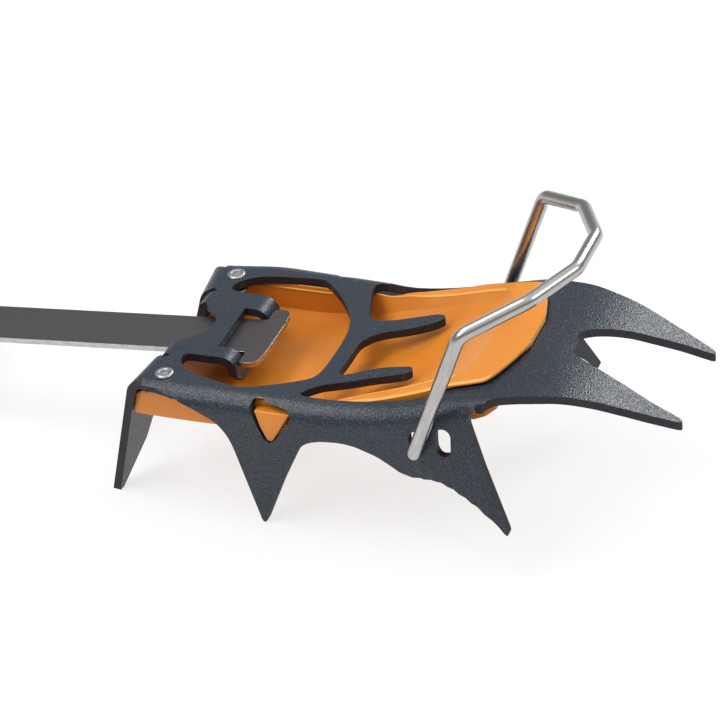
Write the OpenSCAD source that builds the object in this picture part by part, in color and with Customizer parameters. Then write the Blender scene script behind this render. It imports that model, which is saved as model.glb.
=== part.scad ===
// Automatic crampon: front section with toe bail, linking bar and heel section with step in lever.
// X points to the front points, Y to the left, Z up. The origin lies on top of the front plate,
// midway between its two rivets.

/* [Steel sheet] */
// Thickness of the formed steel sheet
sheet_t = 3; // [2.6:0.1:3.4]
// Outer radius of the bend along the side rails
rail_r = 7; // [6:0.5:8]
// Depth of the longest spike tips below the front plate
ground_d = 50; // [46:1:56]

/* [Front frame] */
// Width over the front side flanges
front_w = 82; // [78:1:88]
// Outward bow of the left rail of the front section
left_bow = 3.3; // [0:0.1:4]
// Where the flat sole plate ends and the toe rocker begins
flat_x = 56; // [54:1:60]
// Slope of the toe rocker in degrees
rise_a = 14; // [12:0.5:15]
// Radius of the bend that lifts the toe
rise_r = 124; // [112:2:130]
// Where the toe begins to level out
crest_in_x = 110; // [108:1:112]
// Highest place of the toe
crest_x = 134; // [132:1:138]
// Radius over the roots of the front points
droop_r = 66; // [60:1:74]
// Downward slope of the front points in degrees
droop_a = 20; // [14:1:24]
// Reach of the front point tips
tip_x = 178.5; // [172:0.5:184]
// Distance between the two rivets of the front plate
rivet_gap = 62.8; // [60:0.2:64]
// Diameter of a rivet shank
rivet_d = 4; // [3:0.2:5]
// Diameter of a rivet head
rivet_head_d = 6.7; // [6:0.1:8]
// Height of a rivet head
rivet_head_h = 1.1; // [0.8:0.1:1.6]
// Backward tilt of the rear blades in degrees
blade_a = 16.5; // [10:0.5:20]

/* [Toe bail] */
// Diameter of the bail wire
wire_d = 4.8; // [4:0.1:5]
// Width of the slots that the bail sits in
slot_w = 5; // [4.9:0.1:5.6]
// Height of the slots that the bail sits in
slot_h = 9.6; // [8.4:0.2:10]
// Place of the first bail slot along the frame
slot_x = 94.3; // [92:0.1:96]
// Distance to the second bail slot
slot_step = 9.9; // [9.6:0.1:12]
// Depth of the bail axis below the front plate
bail_z = 9.5; // [8.5:0.1:10.5]
// Height of the bail shoulders over the bail axis
bail_rise = 49; // [44:1:56]
// Forward lean of the bail shoulders from the bail axis
bail_lean = 19.7; // [14:0.1:24]
// Reach of the bail nose ahead of its shoulders
bail_nose = 29; // [24:0.5:34]

/* [Linking bar] */
// Width of the bar
bar_w = 20; // [18:0.5:21]
// Thickness of the bar
bar_t = 2; // [1.6:0.1:2.2]
// Width of the hook head at the front end of the bar
head_w = 33.2; // [30:0.2:35]
// Length of the hook head
head_l = 7.6; // [6:0.1:8.4]
// Droop of the bar behind the front plate in degrees
bar_a = 4.95; // [4.5:0.05:6]
// Place where the bar levels out under the heel
bar_level_x = -91; // [-92:0.5:-90]
// Length of the level part of the bar
bar_level_l = 79; // [77:0.5:84]
// Spacing of the size holes
hole_pitch = 8; // [8:0.5:9]
// Diameter of the size holes
hole_d = 6; // [5.8:0.1:6.6]

/* [Heel section] */
// Front edge of the heel frame
heel_x = -109; // [-110:0.5:-108]
// Length of the heel frame
heel_l = 68; // [66:1:74]
// Width over the heel side flanges
heel_w = 68; // [66:1:76]
// Place of the heel wire holes behind the front edge
wire_hole_in = 30; // [28:0.5:33]
// Depth of the heel wire holes below the heel plate
wire_hole_z = 13.5; // [12:0.5:15]
// Spacing of the heel wire holes
wire_hole_step = 9; // [8:0.5:10]
// Radial play of the heel wire in its holes
wire_play = 0.08; // [0.05:0.01:0.1]
// Diameter of the lock pin
lock_pin_d = 4.6; // [4:0.1:4.8]
// Diameter of the lock axle
lock_axle_d = 3; // [2.6:0.1:3.2]

/* [Heel lever] */
// Diameter of the heel wire
heel_wire_d = 4.4; // [4:0.1:4.8]
// Height of the heel wire bow over its holes
bow_rise = 44; // [42:1:48]
// Distance of the heel wire bow behind its holes
bow_back = 46; // [45:0.5:48]
// Length of the heel lever above the wire bow
lever_l = 70; // [64:1:80]
// Width of the heel lever
lever_w = 34; // [33:0.5:38]
// Thickness of the lever walls
lever_t = 3; // [2.6:0.1:3.4]
// Diameter of the adjusting screw
screw_d = 5; // [4.4:0.1:5.4]
// Diameter of the thumb wheel
wheel_d = 17; // [16.5:0.1:17.4]
// Travel of the adjusting screw each way
screw_travel = 4; // [3:0.5:4.5]

/* [Shells] */
// Wall of the antiballing shells
shell_t = 1.8; // [1.4:0.1:2]
// Gap that keeps moving and stacked pieces apart
gap = 0.3; // [0.2:0.05:0.4]

/* [Hidden] */
$fn = 48;
eps = 0.01;

// Half widths and levels that several pieces share
hw = front_w / 2;
rail_in = hw - rail_r;
ground_z = -ground_d;
blade_y = hw - 3;
crest_r = (crest_x - crest_in_x) / sin(rise_a);
rise_end_x = flat_x + rise_r * sin(rise_a);
rise_end_z = rise_r * (1 - cos(rise_a));
crest_in_z = rise_end_z + (crest_in_x - rise_end_x) * tan(rise_a);
crest_z = crest_in_z + crest_r * (1 - cos(rise_a));
droop_x = crest_x + droop_r * sin(droop_a);
droop_z = crest_z - droop_r * (1 - cos(droop_a));

// Hook tab and rear blades of the front frame
tab_x = 20.5;
tab_far = 20.8;
tab_near = 18.2;
tab_r = 5.2;
tab_d = 11.5;
slot_half = bar_w / 2 + 1.9;
slot_in = 11.6;
blade_r = 6.8;
blade_start = -5.8 + eps;
blade_turn = 7.1;
lip_start = -3.1 + eps;
// The flanges lean outwards ahead of the toe bail
flare_a = 14;
function flare(x) = flare_a * min(1, max(0, (x - 82) / 27));
// The left rail bows outwards between the rear blade and where the folded toe bail lies beside it
bow_end = 68;
function ease(t) = let (u = min(1, max(0, t))) u * u * (3 - 2 * u);
function bow(x) = left_bow * min(ease((x + 10) / 26), ease((bow_end - x) / 26));

// Top of the front plate as stations of place, height and slope
function top_line(x0, x1) = concat(
    [for (x = [x0, -4, 0, 4, 8, 13, 18]) [x, 0, 0]],
    [for (i = [0:6]) let (a = rise_a * i / 6)
        [flat_x + rise_r * sin(a), rise_r * (1 - cos(a)), a]],
    [for (i = [1:5]) let (f = i / 6)
        [rise_end_x + f * (crest_in_x - rise_end_x), rise_end_z + f * (crest_in_z - rise_end_z), rise_a]],
    [for (i = [0:5]) let (a = rise_a * (1 - i / 5))
        [crest_in_x + crest_r * (sin(rise_a) - sin(a)), crest_in_z + crest_r * (cos(a) - cos(rise_a)), a]],
    [for (i = [1:6]) let (a = droop_a * i / 6)
        [crest_x + droop_r * sin(a), crest_z - droop_r * (1 - cos(a)), -a]],
    [[x1, droop_z - (x1 - droop_x) * tan(droop_a), -droop_a]]);

// Height of the front plate's top at one place
function top_z(x) =
    x < flat_x ? 0 :
    x < rise_end_x ? rise_r - sqrt(rise_r * rise_r - pow(x - flat_x, 2)) :
    x < crest_in_x ? rise_end_z + (x - rise_end_x) * tan(rise_a) :
    x < crest_x ? crest_z - crest_r + sqrt(crest_r * crest_r - pow(crest_x - x, 2)) :
    x < droop_x ? crest_z - droop_r + sqrt(droop_r * droop_r - pow(x - crest_x, 2)) :
    droop_z - (x - droop_x) * tan(droop_a);

// A bend of a quarter turn, less the lean f of the leg, in the y and depth plane
function bend_side(s, w, r, d, f, n = 5) =
    [for (i = [0:n]) let (b = f + (90 - f) * i / n) [s * (w - r + r * cos(b)), d + r - r * sin(b)]];
function turned(list) = [for (i = [len(list) - 1:-1:0]) list[i]];

// Open channel section of half width w, outer bend r, sheet t, leg depth and lean f
function leg_end(s, w, r, leg, f) = [s * (w - r + r * cos(f) + (leg - r + r * sin(f)) * tan(f)), leg];
function channel_ring(w, r, t, leg, f = 0) = concat(
    [leg_end(-1, w, r, leg, f)], bend_side(-1, w, r, 0, f), turned(bend_side(1, w, r, 0, f)),
    [leg_end(1, w, r, leg, f)], [leg_end(1, w - t, r - t, leg - t, f) + [0, t]], bend_side(1, w - t, r - t, t, f),
    turned(bend_side(-1, w - t, r - t, t, f)), [leg_end(-1, w - t, r - t, leg - t, f) + [0, t]]);

// Ease the corners of an outline: each is cut off at the distance c, or a quarter of a short side
function eased(p, c) = concat([p[0]], [for (i = [0:len(p) - 2])
    let (d = p[i + 1] - p[i], k = min(0.25, c / norm(d))) each [p[i] + k * d, p[i + 1] - k * d]], [p[len(p) - 1]]);

// Skin a row of rings that all have the same even number of points. The ends are closed by
// quads between the first half of a ring and the second half.
function quad(a, b, c, d) = [[a, b, c], [a, c, d]];
module skin(rings) {
    n = len(rings[0]);
    m = len(rings);
    o = (m - 1) * n;
    points = [for (r = rings) for (p = r) p];
    faces = concat(
        [for (i = [0:m - 2]) for (j = [0:n - 1])
            let (k = (j + 1) % n) for (f = quad(i * n + j, i * n + k, (i + 1) * n + k, (i + 1) * n + j)) f],
        [for (j = [0:n / 2 - 2]) for (f = quad(n - 1 - j, n - 2 - j, j + 1, j)) f],
        [for (j = [0:n / 2 - 2]) for (f = quad(o + j, o + j + 1, o + n - 2 - j, o + n - 1 - j)) f]);
    polyhedron(points, faces, convexity = 8);
}

// Flat plate of the outline, standing in the XZ plane between two places along Y
module side_slab(outline, y0, y1) {
    translate([0, y1, 0]) rotate([90, 0, 0]) linear_extrude(y1 - y0) polygon(outline);
}
module both_sides() {
    children();
    mirror([0, 1, 0]) children();
}

// Round wire along a path whose corners are bent with the radii given. It is a touch slimmer than its
// straight ends, which are drawn as true cylinders over it.
wire_in = 0.97;
function unit(v) = v / norm(v);
function bend(a, b, c, r, n) =
    let (d1 = unit(b - a), d2 = unit(c - b), th = acos(d1 * d2), s = b - d1 * r * tan(th / 2),
         u = unit(d2 - d1 * (d1 * d2)))
    [for (i = [0:n]) let (f = th * i / n) s + u * r * (1 - cos(f)) + d1 * r * sin(f)];
function bent(path, r, n) = concat([path[0]],
    [for (i = [1:len(path) - 2]) for (p = bend(path[i - 1], path[i], path[i + 1], r[i - 1], n)) p],
    [path[len(path) - 1]]);
module wire(pts, d, ref, sides = 16) {
    m = len(pts);
    r = wire_in * d / 2;
    skin([for (i = [0:m - 1])
        let (t = unit(unit(pts[min(i + 1, m - 1)] - pts[min(i, m - 2)]) + unit(pts[max(i, 1)] - pts[max(i - 1, 0)])),
             u = unit(cross(t, ref)), v = cross(u, t))
        [for (j = [0:sides - 1]) let (f = 360 * j / sides) pts[i] + r * (u * cos(f) + v * sin(f))]]);
}
// True cylinder along Y between two places
module rod(x, y0, y1, z, d) {
    translate([x, y1, z]) rotate([90, 0, 0]) cylinder(h = y1 - y0, d = d);
}
function across(path) = concat(path, [for (i = [len(path) - 1:-1:0]) [path[i][0], -path[i][1], path[i][2]]]);

// Front frame

// Lower edge of the left and right flange, with the middle spike and the front side spike
side_outline = [[7.6, 40], [7.6, -4], [10.3, -4.8], [15.3, -6.8], [20.6, -9.6], [23.4, -12.4],
    [25.4, -15.6], [26.8, -19.4], [34, ground_z], [35.4, ground_z], [44, -31], [50.6, -18], [52.6, -15],
    [55.4, -13.2], [60, -12], [66.8, -11.5], [72, -12.2], [79.4, -14.9], [84, -17.8], [87.6, -20.4],
    [91, -21], [101.3, -19.8], [106.1, -20.8], [116, -24.4], [122.8, -28.4], [126.8, -32.4],
    [127.6, -31.6], [118.4, -10.4], [114.6, -0.4], [113.1, 3.6], [113.6, 6.6], [115.6, 9.4], [119.4, 11], [119.4, 40]];

// Half of the plate outline seen from above, from the rear edge to the tip
plate_half = [[lip_start, 0], [lip_start, tab_far], [blade_start, blade_y], [0, rail_in], [111, rail_in], [116, hw - 3],
    [120.6, hw - 5.5], [128.6, hw - 6.8], [134, hw - 7.8], [141, hw - 10], [148.5, hw - 11.8], [156, hw - 13.8],
    [161, hw - 15.2], [168, hw - 17], [tip_x, 20.8], [tip_x, 18.9], [168, 17.2], [160, 15], [152, 12.8],
    [146, 10.6], [141.5, 8.6], [138.6, 6.8], [137.2, 5.2], [136.8, 3.4], [136.8, 0]];

// Big window behind the bridge
window_rear = [[tab_x - 5, tab_far], [11.5, tab_far + 0.3], [5.6, tab_far + 0.5], [3, tab_far + 0.8],
    [1.8, 22.8], [1.7, 24.6], [2.8, 27], [4.8, 29.2], [7.4, 30.9], [10.6, 32.3], [16, 33.3],
    [24, rail_in + 0.2], [30, rail_in + 0.8], [33, rail_in + 0.5], [35.2, 33.2], [37.9, 30.6],
    [43.3, 24.9], [47.8, 18.7], [50.8, 13.4], [52.4, 7], [53, 2], [53.2, -5.5], [52.9, -16.5], [51.9, -21.2],
    [49.8, -23.8], [43.9, -27.1], [35.3, -31.1], [30.5, -32.8], [26.5, -33.1], [20.9, -31.9], [14, -30.3],
    [8.2, -28.3], [4.6, -26], [2.7, -23.6], [1.9, -21], [2.1, -19.2], [3.2, -tab_near - 0.1], [14.9, -tab_near],
    [tab_x - 5, -tab_near]];

// Window in front of the bridge, with the two tongues left standing in it
w2_y = rail_in + 1.6;
window_front = [[61.5, 14.6], [58.2, 15.3], [56.2, 16.8], [51.6, w2_y - 3.4], [51.8, w2_y + 0.4], [54, w2_y + 1.8],
    [82, w2_y + 1.8], [92, w2_y + 0.4], [98, w2_y - 2], [103, 22], [104, 16], [104, -16], [103, -22], [98, -w2_y + 3.6], [92, -w2_y + 2.2],
    [53, -w2_y + 2.2], [50.4, -w2_y + 3], [50.4, -w2_y + 4.4], [55.2, -26], [60, -24], [66, -21.6], [71.4, -19.4],
    [79, -17.9], [83, -17.2], [84.6, -15.2], [83.4, -13.2], [81, -12.8], [74, -12.9], [69.2, -14.4], [62.4, -18.2],
    [60.4, -18.9], [58.8, -18.3], [58.6, -16.6], [59.1, -9], [59, -0.6], [60, 2.4], [62, 5.2], [65, 7.6], [68.4, 8.9],
    [75, 10.8], [82.4, 14], [84.9, 16.2], [84, 18.2], [81, 19.4], [72.6, 17.4], [66, 15.4]];

// Bent strip of sheet in the XZ plane: starts level at x0, turns down by angle a, then runs on for l
function strip(x0, dir, r, a, l, n = 6) = let (
    o = [for (i = [0:n]) let (b = a * i / n) [x0 + dir * r * sin(b), -r * (1 - cos(b))]],
    q = [for (i = [0:n]) let (b = a * i / n) [x0 + dir * (r - sheet_t) * sin(b), -r + (r - sheet_t) * cos(b)]],
    d = [dir * cos(a) * l, -sin(a) * l])
    concat([[x0 - dir * 2, 0]], o, [o[n] + d], [q[n] + d], turned(q), [[x0 - dir * 2, -sheet_t]]);

module tip_blades(x0, ground, y_out, y_in, shift = [0, 0, 0], turn = 0) {
    translate(shift) both_sides() translate([x0, y_out, 0]) rotate(turn) translate([-x0, -y_out, 0]) intersection() {
        side_slab(strip(x0, -1, blade_r, 90 - blade_a, ground * 1.1), y_in - 2, y_out);
        translate([-60 + x0, 0, 0]) rotate([90, 0, 90]) linear_extrude(70)
            polygon([[y_out - 6.35, 1], [y_out - 1.4, -0.8], [y_out, -2.4], [y_out, -ground], [y_out - 2.2, -ground], [y_in + 2.5, -0.72 * ground],
                [y_in - 0.6, -0.54 * ground], [y_in - 1, -13], [y_in, -8], [y_in, 1]]);
    }
}

module side_slot(x, z, y0, y1, w = slot_w) {
    for (s = [-1, 1]) translate([x, y1, z + s * (slot_h - slot_w) / 2])
        rotate([90, 0, 0]) cylinder(h = y1 - y0, d = w);
    translate([x - w / 2, y0, z - (slot_h - slot_w) / 2]) cube([w, y1 - y0, slot_h - slot_w]);
}

module formed_plate() {
    intersection() {
        skin([for (s = top_line(-8, tip_x + 4))
            [for (p = channel_ring(hw, rail_r, sheet_t, ground_d + 6, flare(s[0])))
                [s[0] + p[1] * sin(s[2]), p[0] + (p[0] > 0 ? bow(s[0]) : 0), s[1] - p[1] * cos(s[2])]]]);
        union() {
            translate([0, 0, -rail_r - 1]) linear_extrude(ground_d) {
                polygon(eased(plate_half, 1.2));
                mirror([0, 1]) polygon(eased(plate_half, 1.2));
            }
            // the bend runs out towards the rear blades
            for (side = [-1, 1]) translate([0, 0, -3.6]) linear_extrude(8)
                polygon([for (p = [[blade_start, rail_in - 1], [blade_start, blade_y], [-1, blade_y + 0.2],
                    [4, blade_y + 1.4], [8, hw + 0.2], [8, rail_in - 1]])
                    [p[0], side * p[1] + (side * p[1] > rail_in ? bow(p[0]) : 0)]]);
            both_sides() side_slab(eased(side_outline, 1), rail_in - 0.4, hw + 14);
        }
    }
}

// Tab that the bar hooks on, folded down
module hook_tab() intersection() {
    side_slab(strip(tab_x - tab_r, 1, tab_r, 90, tab_d - tab_r, 8), -tab_near, tab_far);
    rotate([90, 0, 90]) linear_extrude(30) polygon([[-tab_near, 1], [tab_far, 1], [tab_far, -tab_d + 4],
        [tab_far - 4, -tab_d], [-tab_near + 4, -tab_d], [-tab_near, -tab_d + 4]]);
}

module front_frame() color([0.24, 0.27, 0.31]) difference() {
    union() {
        difference() {
            formed_plate();
            translate([0, 0, -ground_d]) linear_extrude(2 * ground_d) polygon(eased(eased(window_rear, 1.6), 0.7));
            translate([0, 0, -ground_d]) linear_extrude(2 * ground_d) polygon(eased(eased(window_front, 1.6), 0.7));
        }
        tip_blades(blade_start, ground_d, blade_y, 21, turn = blade_turn);
        // lips beside the bar
        both_sides() side_slab(strip(lip_start, -1, 4.2, 60, 0.4), 12.4, 20);
        hook_tab();
    }
    // scallop over the bar at the rear edge, with a small relief notch on each side of each lip
    translate([0, 0, -10]) linear_extrude(20) {
        polygon([[-30, -12.4], [-6, -12.4], [-3.8, -12], [-0.4, -9.6], [2.4, -6.4], [4.2, -3.2], [4.8, 0],
            [4.2, 3.2], [2.4, 6.4], [-0.4, 9.6], [-3.8, 12], [-6, 12.4], [-30, 12.4]]);
        for (s = [-1, 1]) translate([-4.6, s * 20.6]) circle(1);
    }
    // slot that the bar hooks into
    translate([slot_in, -slot_half, bar_top(tab_x) - bar_t - gap]) cube([20, 2 * slot_half, 20]);
    both_sides() {
        translate([0, rivet_gap / 2, -10]) cylinder(h = 20, d = rivet_d);
        side_slot(slot_x, -bail_z + (slot_h - slot_w) / 2, rail_in - 4, hw + 2);
        side_slot(slot_x + slot_step, -bail_z + (slot_h - slot_w) / 2 + 2.5, rail_in - 4, hw + 4, slot_w + 0.4);
        side_slab([[34.6, -2.6], [35.4, -0.9], [37.2, -0.4], [48.2, -2.4], [49.6, -4.4], [48.8, -6.6], [42.4, -15],
            [40.6, -15.7], [38.8, -14.4]], rail_in - 1, hw + left_bow + 2);
    }
}

// Front shell

// Rows of the shell along X: place, outer half width, rim height, foot of the side wall (y, z),
// floor edge (y, z), lower outer corner (y, z)
shell_top = -sheet_t - gap;
rail_fit = hw - sheet_t - gap - 0.5;
w2_fit = w2_y - gap - 0.7;
shell_sway = 1.6;
function lift(x, d) = top_z(x) + d;
// The shell follows the bowed rail, so its middle line leans to the left in the front window
function sway(x) = shell_sway * min(ease((x - 30) / 28), 1);
shell_rows = [
    [lip_start - 0.1, rail_fit, shell_top, rail_fit - 2, -11.2, rail_fit - 6, -13, rail_fit - 0.4, -12.2],
    [20, rail_fit, shell_top, rail_fit - 2, -11.4, rail_fit - 6, -13.4, rail_fit - 0.4, -12.8],
    [30, rail_fit, shell_top, rail_fit - 2, -11.4, rail_fit - 6, -13.4, rail_fit - 0.4, -16],
    [44, rail_fit - 0.4, shell_top, rail_fit - 2.4, -11.2, rail_fit - 7, -13.2, rail_fit - 0.8, -16.2],
    [50, w2_fit, shell_top - 0.2, w2_fit - 2, -10.6, w2_fit - 6, -12.4, w2_fit - 0.4, -12],
    [58, w2_fit, shell_top - 0.2, w2_fit - 2.4, -8.6, w2_fit - 6, -10.2, w2_fit - 0.4, -9.8],
    [65, w2_fit, -1, w2_fit - 3.4, -5.4, w2_fit - 8, -7.6, w2_fit - 1, -7.4],
    [73, w2_fit - 0.7, lift(73, 1.4), w2_fit - 4.6, -3, 24, -5.4, w2_fit - 2.6, -4.8],
    [80, w2_fit - 2.1, lift(80, 2.4), w2_fit - 5.6, -0.2, 23, -3.4, w2_fit - 4.2, -2.4],
    [86, w2_fit - 1.7, lift(86, 3), w2_fit - 6.3, 2.4, 22, -1, w2_fit - 4.4, 0.8],
    [93, w2_fit - 0.5, lift(93, 3), w2_fit - 7, 6, 21, 3.2, w2_fit - 5, 4],
    [98, w2_fit - 1.3, lift(98, 3), w2_fit - 7.2, lift(98, 1.5), 20.4, 5.8, w2_fit - 7.4, lift(98, -0.2)],
    [103.4, w2_fit - 3.2, lift(103.4, 3), 27.2, lift(103.4, 2.3), 19.6, lift(103.4, 2.2), 26, lift(103.4, 0.4)],
    [107.6, w2_fit - 4.8, lift(107.6, 2.9), 23.6, lift(107.6, 2.3), 18, lift(107.6, 2.2), 23, lift(107.6, 0.4)],
    [110, 29.8, lift(110, 2.8), 22, lift(110, 2.6), 17, lift(110, 2.6), 22, lift(110, 0.4)],
    [116, 28.4, lift(116, 2.7), 21, lift(116, 2.6), 16, lift(116, 2.6), 20, lift(116, 0.4)],
    [120.6, 20.4, lift(120.6, 2.5), 15, lift(120.6, 2.4), 11, lift(120.6, 2.4), 14, lift(120.6, 0.4)],
    [123.6, 12, lift(123.6, 2.2), 9, lift(123.6, 2.2), 6, lift(123.6, 2.2), 8, lift(123.6, 0.4)]];
function shell_half(r) = let (low = r[0] < 60, dish = low ? 2.2 : r[0] < 90 ? 1 : 0.1, in = low ? 2 : 0) [
    [r[1] - in, r[2]], [r[1] - in - 1.5, r[2]], low ? [r[3] + 0.2, r[2] - 2.1] : [r[3] + 0.6, min(r[4] + 1.4, r[2] - 0.1)],
    [r[3] - 1, r[4]], [r[5], r[6]], [0, r[6] - dish], [0, r[6] - dish - shell_t], [r[5] + 0.6, r[6] - shell_t],
    [r[7] - 0.8, r[8] - (r[0] < 95 ? 1 : 0)], [r[7], r[8]], [r[1], r[2] - (low ? 2.7 : 1.3)]];
function shell_ring(r) = let (h = shell_half(r), s = sway(r[0])) concat(
    [for (i = [0:5]) [r[0], s + h[i][0], h[i][1]]],
    [for (i = [4:-1:0]) [r[0], s - h[i][0], h[i][1]]],
    [for (i = [10:-1:6]) [r[0], s - h[i][0], h[i][1]]],
    [for (i = [7:10]) [r[0], s + h[i][0], h[i][1]]]);

module front_shell() color([0.9, 0.48, 0.12]) difference() {
    union() {
        skin(turned([for (r = shell_rows) shell_ring(r)]));
        // ears that the rivets pass through
        both_sides() translate([0, rivet_gap / 2, shell_top - shell_t]) {
            cylinder(h = shell_t, d = 7.2);
            cylinder(h = shell_t + gap, d = rivet_d + 1);
        }
    }
    both_sides() translate([0, rivet_gap / 2, -12]) cylinder(h = 12, d = rivet_d);
}

// Rivet with its axis along Z, head on top of the sheet and tail under the washer
module rivet(top, bottom) {
    translate([0, 0, bottom]) cylinder(h = top - bottom, d = rivet_d);
    translate([0, 0, top]) difference() {
        scale_r = (rivet_head_d * rivet_head_d / 4 + rivet_head_h * rivet_head_h) / (2 * rivet_head_h);
        translate([0, 0, rivet_head_h - scale_r]) sphere(r = scale_r, $fn = 64);
        translate([0, 0, -2 * scale_r]) cube(4 * scale_r, center = true);
    }
    translate([0, 0, bottom - 1.2]) cylinder(h = 1.2, d = rivet_d + 1.6);
}

module front_rivets() color([0.78, 0.79, 0.8]) both_sides() translate([0, rivet_gap / 2, 0])
    rivet(0, shell_top - shell_t - 0.8);

module washer(d) {
    difference() {
        cylinder(h = 0.8, d = d);
        translate([0, 0, -1]) cylinder(h = 3, d = rivet_d);
    }
}
module front_washers() color([0.7, 0.71, 0.72]) both_sides()
    translate([0, rivet_gap / 2, shell_top - shell_t - 0.8]) washer(7);

// Toe bail

bail_y = hw + wire_d / 2 + 2;
bail_path = [[slot_x, rail_in, -bail_z], [slot_x, bail_y, -bail_z],
    [slot_x + bail_lean, bail_y - 2.4, bail_rise - bail_z],
    [slot_x + bail_lean + bail_nose * 0.655, bail_y - 16.4, bail_rise - bail_z + 6.8],
    [slot_x + bail_lean + bail_nose, 10, bail_rise - bail_z + 8.8]];

module toe_bail() color([0.75, 0.75, 0.74]) {
    wire(bent(across(bail_path), [3.4, 6, 9, 7, 7, 9, 6, 3.4], 5), wire_d, [-0.5, 0, 0.85]);
    both_sides() rod(slot_x, rail_in - eps, bail_y - 3.4, -bail_z, wire_d);
}

// Linking bar

// Top of the sloping part of the bar, which just clears the land ahead of the rear edge
function bar_top(x) = -sheet_t - gap / 2 + (x - slot_in) * tan(bar_a);
bar_z = bar_top(bar_level_x);
bar_end = bar_level_x - bar_level_l;

module bar_band(grow = 0) {
    side_slab([[bar_end, bar_z], [bar_level_x, bar_z], [40, bar_top(40)], [40, bar_top(40) - bar_t],
        [bar_level_x, bar_z - bar_t], [bar_end, bar_z - bar_t]], -30, 30);
}

// Half of its outline seen from above, from the tail to the middle of the hook head
head_x = tab_x + gap;
bar_half = concat(
    [for (i = [0:6]) let (a = 15 * i) [bar_end + 5 - 5 * cos(a), bar_w / 2 - 5 + 5 * sin(a)]],
    [[head_x - 0.6, bar_w / 2], [head_x, bar_w / 2 + 0.6], [head_x, head_w / 2 - 1]],
    [for (i = [1:3]) let (a = 30 * i) [head_x + 1 - cos(a), head_w / 2 - 1 + sin(a)]],
    [for (i = [0:5]) let (a = 15 * i)
        [head_x + head_l - 4.4 + 3.6 * sin(a), head_w / 2 - 3.6 + 3.6 * cos(a)]],
    [[head_x + head_l - 0.2, head_w / 4]]);

module linking_bar() color([0.45, 0.43, 0.43]) difference() {
    intersection() {
        bar_band();
        translate([0, 0, -60]) linear_extrude(80)
            polygon(concat(bar_half, [for (q = turned(bar_half)) [q[0], -q[1]]]));
    }
    // size holes, set for the lean of the pin when the lock is up
    for (k = [-4:2]) translate([lock_x + 0.6 + k * hole_pitch, 0, bar_z - 10]) cylinder(h = 20, d = hole_d);
}

// Heel section

heel_top = bar_z + gap + sheet_t;
heel_end = heel_x - heel_l;
heel_hw = heel_w / 2;
heel_in = heel_hw - rail_r;
lock_x = heel_x - 22;
guide_w = bar_w + 2 * gap;
guide_t = 2;
guide_rivet_y = bar_w / 2 + gap + guide_t + 4.7;
lock_bay = 2 * guide_rivet_y + 10;
land_l = 14;
rear_land = 14;
heel_rivet_x = heel_end + 8;
heel_rivet_y = 20;
wire_x = heel_x - wire_hole_in;
wire_z = heel_top - wire_hole_z;
heel_ground = heel_top - ground_z;

module channel_2d(w, r, d) {
    translate([-w + r, -d]) square([2 * (w - r), d]);
    translate([-w, -d]) square([2 * w, d - r]);
    for (s = [-1, 1]) translate([s * (w - r), -r]) circle(r);
}

// Lower edge of a heel flange, with its spike and the lug of the wire holes
heel_outline = [[heel_x + 1, 2], [heel_x + 1, -9], [heel_x - 4, -11], [heel_x - 9, -16], [heel_x - 11.4, -heel_ground],
    [heel_x - 12.8, -heel_ground], [heel_x - 22, -23.5], [heel_x - 25, -20], [heel_x - 28, -18.6],
    [wire_x - 12, -18.6], [wire_x - 16, -16], [heel_end + 15, -8.6], [heel_end + 4, -3.6], [heel_end - 1, -1.2],
    [heel_end - 1, 2]];

module heel_frame() color([0.24, 0.27, 0.31]) translate([0, 0, heel_top]) difference() {
    union() {
        intersection() {
            translate([heel_end, 0, 0]) rotate([90, 0, 90]) linear_extrude(heel_l) difference() {
                channel_2d(heel_hw, rail_r, heel_ground + 2);
                translate([0, -sheet_t]) channel_2d(heel_hw - sheet_t, rail_r - sheet_t, heel_ground + 4);
            }
            union() {
                translate([heel_end - 1, -heel_in, -8]) cube([heel_l + 2, 2 * heel_in, 12]);
                both_sides() side_slab(heel_outline, heel_in - 0.4, heel_hw + 1);
            }
        }
        intersection() {
            tip_blades(0, heel_ground, heel_in + 2, 11, [heel_end + eps, 0, 0]);
            translate([heel_end - 60, -60, -heel_ground]) cube([70, 120, 80]);
        }
    }
    // window with rounded ends
    translate([0, 0, -10]) linear_extrude(20) {
        for (s = [-1, 1]) translate([heel_x - land_l - 7, s * (heel_in - 9)]) circle(7);
        for (s = [-1, 1]) translate([heel_end + rear_land + 7, s * (heel_in - 9)]) circle(7);
        translate([heel_end + rear_land + 7, -heel_in + 2]) square([heel_l - land_l - rear_land - 14, 2 * heel_in - 4]);
        translate([heel_end + rear_land, -heel_in + 9]) square([heel_l - land_l - rear_land, 2 * heel_in - 18]);
        // bays that lighten the front and rear edges
        translate([heel_x + 12, 0]) circle(16);
        translate([heel_end - 14, 0]) circle(20);
    }
    both_sides() {
        translate([heel_rivet_x, heel_rivet_y, -10]) cylinder(h = 20, d = rivet_d);
        translate([guide_rivet_x, guide_rivet_y, -10]) cylinder(h = 20, d = rivet_d);
        for (k = [-1:1]) translate([wire_x + k * wire_hole_step, heel_hw + 2, -wire_hole_z])
            rotate([90, 0, 0]) cylinder(h = sheet_t + 4, d = heel_wire_d + 2 * wire_play);
    }
}

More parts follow.
